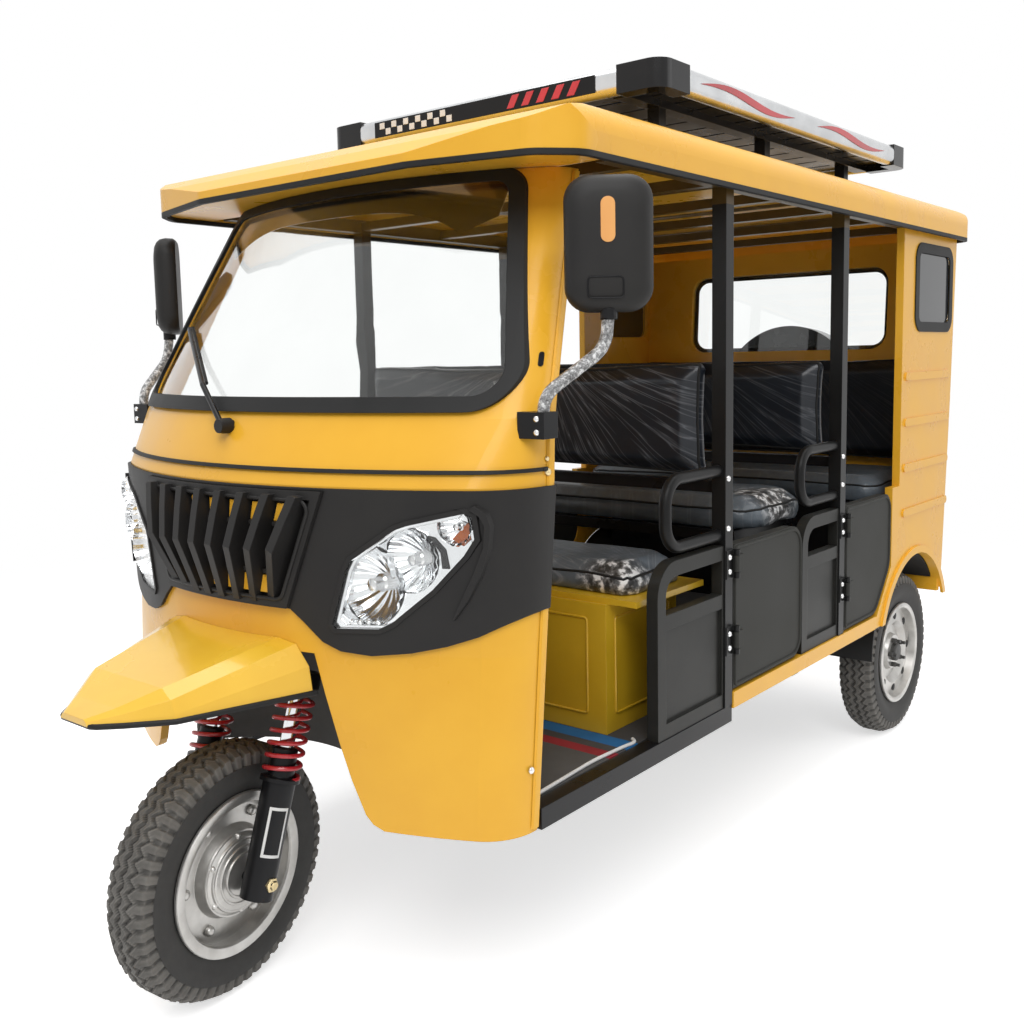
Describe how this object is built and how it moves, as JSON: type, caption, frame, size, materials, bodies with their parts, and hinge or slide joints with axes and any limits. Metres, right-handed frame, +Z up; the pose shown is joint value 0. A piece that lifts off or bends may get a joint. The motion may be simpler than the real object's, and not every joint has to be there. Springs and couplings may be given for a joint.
{
  "type": "auto rickshaw",
  "caption": "Passenger three-wheeler with a closed nose and screen, open sides with low hinged doors, bench seats, hard roof and roof rack; one steered front wheel, two rear wheels.",
  "frame": {"origin": "middle of the overall box, on the ground", "axes": "-Y is the front, +X the vehicle's left, +Z up"},
  "size_m": [1.5286, 3.0853, 1.928],
  "materials": {
    "yellow_paint": "gloss orange-yellow enamel",
    "lemon_paint": "gloss lemon-yellow enamel",
    "ochre_paint": "satin ochre enamel",
    "black_plastic": "fine-grained matt black",
    "black_paint": "gloss black enamel",
    "door_paint": "matt grey-black powder coat",
    "black_rubber": "matt",
    "floor_mat": "ribbed grey mat",
    "window_glass": "clear",
    "lamp_glass": "clear moulded",
    "lamp_chrome": "bright reflector",
    "black_vinyl": "satin coated",
    "tyre": "moulded rubber",
    "rim_silver": "silver enamel",
    "cast_metal": "painted casting",
    "spring_steel": "dull black",
    "red_paint": "gloss red",
    "mirror": "silvered",
    "bright_rail": "polished",
    "gloss_black": "gloss",
    "lamp_red": "clear red moulded"
  },
  "bodies": {
    "vehicle": {"cab_shell": "yellow_paint", "side_sills": "yellow_paint", "rear_body": "yellow_paint", "roof": "yellow_paint", "front_fender": "lemon_paint", "seat_box": "ochre_paint", "front_mask": "black_plastic", "front_grille": "black_plastic", "mirrors": "black_plastic", "wheel_arch_liners": "black_plastic", "chassis_frame": "black_paint", "side_frames": "black_paint", "side_guards": "black_paint", "seat_frames": "black_paint", "rear_bumper": "black_paint", "rack_deck": "black_paint", "wiper": "black_paint", "window_seals": "black_rubber", "floor_pan": "floor_mat", "window_glass": "window_glass", "headlamp_lenses": "lamp_glass", "headlamp_buckets": "lamp_chrome", "seat_cushions": "black_vinyl", "seat_backrests": "black_vinyl", "engine_block": "cast_metal", "rear_axle": "cast_metal", "leaf_springs": "spring_steel", "mirror_glass": "mirror", "rack_rails": "bright_rail", "rack_caps": "gloss_black", "spare_wheel_cover": "gloss_black", "tail_lamps": "lamp_red"},
    "fork": {"fork_sliders": "black_paint", "fork_springs": "red_paint", "fork_yoke": "black_paint"},
    "front_wheel": {"tyre_front": "tyre", "rim_front": "rim_silver"},
    "rear_wheel_left": {"tyre_rear_left": "tyre", "rim_rear_left": "rim_silver"},
    "rear_wheel_right": {"tyre_rear_right": "tyre", "rim_rear_right": "rim_silver"},
    "mid_door_left": {"door_mid_left": "door_paint"},
    "mid_door_right": {"door_mid_right": "door_paint"},
    "rear_door_left": {"door_rear_left": "door_paint"},
    "rear_door_right": {"door_rear_right": "door_paint"}
  },
  "joints": [
    {"name": "steering", "type": "hinge", "parent": "vehicle", "child": "fork", "pos_m": [0, -1.2112, 0.24509], "axis": [0, 0.309, 0.9511], "range_deg": [-48, 32]},
    {"name": "front_wheel_spin", "type": "hinge", "parent": "fork", "child": "front_wheel", "pos_m": [0.00626, -1.25358, 0.25887], "axis": [0.9903, 0.1324, -0.043], "continuous": true},
    {"name": "rear_wheel_left_spin", "type": "hinge", "parent": "vehicle", "child": "rear_wheel_left", "pos_m": [0.518, 1.059, 0.27], "axis": [1, 0, 0], "continuous": true},
    {"name": "rear_wheel_right_spin", "type": "hinge", "parent": "vehicle", "child": "rear_wheel_right", "pos_m": [-0.518, 1.059, 0.27], "axis": [1, 0, 0], "continuous": true},
    {"name": "mid_door_left_hinge", "type": "hinge", "parent": "vehicle", "child": "mid_door_left", "pos_m": [0.626, -0.211, 0.69], "axis": [0, 0, -1], "range_deg": [0, 90]},
    {"name": "mid_door_right_hinge", "type": "hinge", "parent": "vehicle", "child": "mid_door_right", "pos_m": [-0.626, -0.211, 0.69], "axis": [0, 0, 1], "range_deg": [0, 90]},
    {"name": "rear_door_left_hinge", "type": "hinge", "parent": "vehicle", "child": "rear_door_left", "pos_m": [0.626, 0.467, 0.69], "axis": [0, 0, -1], "range_deg": [0, 90]},
    {"name": "rear_door_right_hinge", "type": "hinge", "parent": "vehicle", "child": "rear_door_right", "pos_m": [-0.626, 0.467, 0.69], "axis": [0, 0, 1], "range_deg": [0, 90]}
  ]
}
